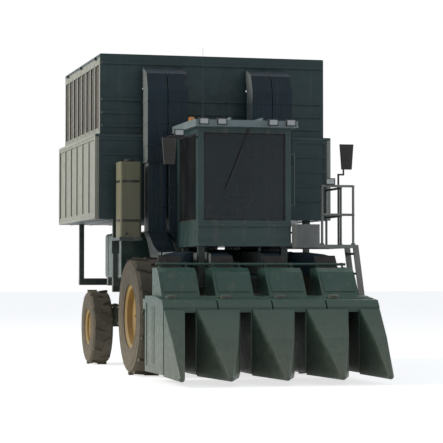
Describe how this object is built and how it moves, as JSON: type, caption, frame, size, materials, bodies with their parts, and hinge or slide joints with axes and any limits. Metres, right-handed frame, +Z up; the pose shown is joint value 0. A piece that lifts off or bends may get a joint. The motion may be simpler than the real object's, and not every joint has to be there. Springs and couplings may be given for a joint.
{
  "type": "cotton harvester",
  "caption": "Self-propelled basket cotton harvester with row units, side ducts, cab, telescoping dump basket, steered rear wheels and lifting header.",
  "frame": {"origin": "on the ground under the middle of the machine's box", "axes": "+Y to the machine's rear, along its length, +X to its left, +Z up"},
  "size_m": [4, 8.3994, 5.1007],
  "materials": {
    "chassis_paint": "dusty satin",
    "green_paint": "dusty satin",
    "basket_paint": "dusty satin, pale cream side panels",
    "duct_paint": "dusty satin",
    "divider_paint": "worn satin",
    "roof_paint": "dusty gloss",
    "rim_paint": "dusty satin",
    "tyre": "dusty rubber",
    "cast_parts": "oily",
    "black_metal": "satin",
    "exhaust_steel": "heat stained",
    "tank_plastic": "dusty translucent look",
    "glass": "dusty",
    "seat_fabric": "woven",
    "dark_plastic": "grained",
    "deck_steel": "worn",
    "lamp_lens": "clear lens",
    "beacon_lens": "amber lens",
    "rod_chrome": "polished",
    "drum_steel": "worn bright"
  },
  "bodies": {
    "chassis": {"frame": "chassis_paint", "front_axle": "chassis_paint", "rear_axle": "chassis_paint", "engine_block": "cast_parts", "engine_panels": "green_paint", "cooling_screen": "black_metal", "exhaust": "exhaust_steel", "fuel_tank": "green_paint", "oil_tank": "green_paint", "oil_carriers": "chassis_paint", "water_tank": "tank_plastic", "tank_shelf": "chassis_paint", "fan_housing": "green_paint", "cab_body": "green_paint", "cab_glass": "glass", "cab_roof": "roof_paint", "seat_base": "black_metal", "seat_cushion": "seat_fabric", "cab_controls": "dark_plastic", "platform": "deck_steel", "handrails": "deck_steel", "ladder": "deck_steel", "mirrors": "black_metal", "lamps": "lamp_lens", "beacon": "beacon_lens", "ducts_lower": "duct_paint", "duct_elbows": "duct_paint", "duct_risers": "duct_paint"},
    "knuckle_left": {"knuckle_left": "chassis_paint"},
    "knuckle_right": {"knuckle_right": "chassis_paint"},
    "drive_wheel_left": {"drive_rim_left": "rim_paint", "drive_tyre_left": "tyre"},
    "drive_wheel_right": {"drive_rim_right": "rim_paint", "drive_tyre_right": "tyre"},
    "steer_wheel_left": {"steer_rim_left": "rim_paint", "steer_tyre_left": "tyre"},
    "steer_wheel_right": {"steer_rim_right": "rim_paint", "steer_tyre_right": "tyre"},
    "door": {"door_frame": "green_paint", "door_glass": "glass"},
    "basket": {"basket_lower": "basket_paint", "raise_barrels": "black_metal"},
    "basket_top": {"basket_upper": "basket_paint", "raise_rods": "rod_chrome"},
    "lid": {"basket_lid": "basket_paint"},
    "duct_tops": {"ducts_upper": "duct_paint"},
    "dump_barrels": {"dump_barrels": "black_metal"},
    "dump_rods": {"dump_rods": "rod_chrome"},
    "header": {"header_bar": "green_paint", "row_units": "green_paint", "dividers": "divider_paint"},
    "lift_barrels": {"lift_barrels": "black_metal"},
    "lift_rods": {"lift_rods": "rod_chrome"},
    "drum_1": {"drum_1": "drum_steel"},
    "drum_2": {"drum_2": "drum_steel"},
    "drum_3": {"drum_3": "drum_steel"},
    "drum_4": {"drum_4": "drum_steel"}
  },
  "joints": [
    {"name": "drive_wheel_left", "type": "hinge", "parent": "chassis", "child": "drive_wheel_left", "pos_m": [1.35, -0.84, 0.915], "axis": [1, 0, 0], "continuous": true},
    {"name": "drive_wheel_right", "type": "hinge", "parent": "chassis", "child": "drive_wheel_right", "pos_m": [-1.35, -0.84, 0.915], "axis": [1, 0, 0], "continuous": true},
    {"name": "steer_left", "type": "hinge", "parent": "chassis", "child": "knuckle_left", "pos_m": [1.08, 2.96, 0.65], "axis": [0, 0, 1], "range_deg": [-38, 38]},
    {"name": "steer_right", "type": "hinge", "parent": "chassis", "child": "knuckle_right", "pos_m": [-1.08, 2.96, 0.65], "axis": [0, 0, 1], "range_deg": [-38, 38]},
    {"name": "steer_wheel_left", "type": "hinge", "parent": "knuckle_left", "child": "steer_wheel_left", "pos_m": [1.4, 2.96, 0.65], "axis": [1, 0, 0], "continuous": true},
    {"name": "steer_wheel_right", "type": "hinge", "parent": "knuckle_right", "child": "steer_wheel_right", "pos_m": [-1.4, 2.96, 0.65], "axis": [1, 0, 0], "continuous": true},
    {"name": "cab_door", "type": "hinge", "parent": "chassis", "child": "door", "pos_m": [0.745, -0.7, 2.95], "axis": [0, 0, 1], "range_deg": [0, 85]},
    {"name": "basket_dump", "type": "hinge", "parent": "chassis", "child": "basket", "pos_m": [1.6, 1.86, 2.38], "axis": [0, 1, 0], "range_deg": [0, 75]},
    {"name": "basket_raise", "type": "slide", "parent": "basket", "child": "basket_top", "axis": [0, 0, 1], "range_m": [-1.08, 0]},
    {"name": "basket_lid", "type": "hinge", "parent": "basket_top", "child": "lid", "pos_m": [-1.895, 1.86, 5.05], "axis": [0, -1, 0], "range_deg": [0, 60]},
    {"name": "duct_slide", "type": "slide", "parent": "chassis", "child": "duct_tops", "axis": [0, 0, 1], "range_m": [-1.08, 0]},
    {"name": "dump_cylinder_swing", "type": "hinge", "parent": "chassis", "child": "dump_barrels", "pos_m": [0.9, 1.4, 1.17], "axis": [0, 1, 0], "range_deg": [0, 35.26]},
    {"name": "dump_cylinder_rod", "type": "slide", "parent": "dump_barrels", "child": "dump_rods", "axis": [-0.4442, 0, 0.8959], "range_m": [0, 1.1438]},
    {"name": "header_lift", "type": "hinge", "parent": "chassis", "child": "header", "pos_m": [0, -1.15, 1.15], "axis": [-1, 0, 0], "range_deg": [0, 12]},
    {"name": "lift_cylinder_swing", "type": "hinge", "parent": "chassis", "child": "lift_barrels", "pos_m": [0, -1.08, 0.6], "axis": [-1, 0, 0], "range_deg": [0, 7.5]},
    {"name": "lift_cylinder_rod", "type": "slide", "parent": "lift_barrels", "child": "lift_rods", "axis": [0, -0.8994, 0.4372], "range_m": [0, 0.0939]},
    {"name": "drum_spin_1", "type": "hinge", "parent": "header", "child": "drum_1", "pos_m": [-1.42, -3.07, 0.6], "axis": [0, 0, 1], "continuous": true},
    {"name": "drum_spin_2", "type": "hinge", "parent": "header", "child": "drum_2", "pos_m": [-0.61, -3.07, 0.6], "axis": [0, 0, 1], "continuous": true},
    {"name": "drum_spin_3", "type": "hinge", "parent": "header", "child": "drum_3", "pos_m": [0.2, -3.07, 0.6], "axis": [0, 0, 1], "continuous": true},
    {"name": "drum_spin_4", "type": "hinge", "parent": "header", "child": "drum_4", "pos_m": [1.01, -3.07, 0.6], "axis": [0, 0, 1], "continuous": true}
  ],
  "couplings": [
    {"joint": "steer_right", "follows": "steer_left", "ratio": 1},
    {"joint": "duct_slide", "follows": "basket_raise", "ratio": 1},
    {"joint": "dump_cylinder_swing", "follows": "basket_dump", "ratio": 0.4635},
    {"joint": "dump_cylinder_rod", "follows": "basket_dump", "m_per_rad": 0.87225},
    {"joint": "lift_cylinder_swing", "follows": "header_lift", "ratio": 0.60824},
    {"joint": "lift_cylinder_rod", "follows": "header_lift", "m_per_rad": 0.44336},
    {"joint": "drum_spin_2", "follows": "drum_spin_1", "ratio": 1},
    {"joint": "drum_spin_3", "follows": "drum_spin_1", "ratio": 1},
    {"joint": "drum_spin_4", "follows": "drum_spin_1", "ratio": 1}
  ]
}
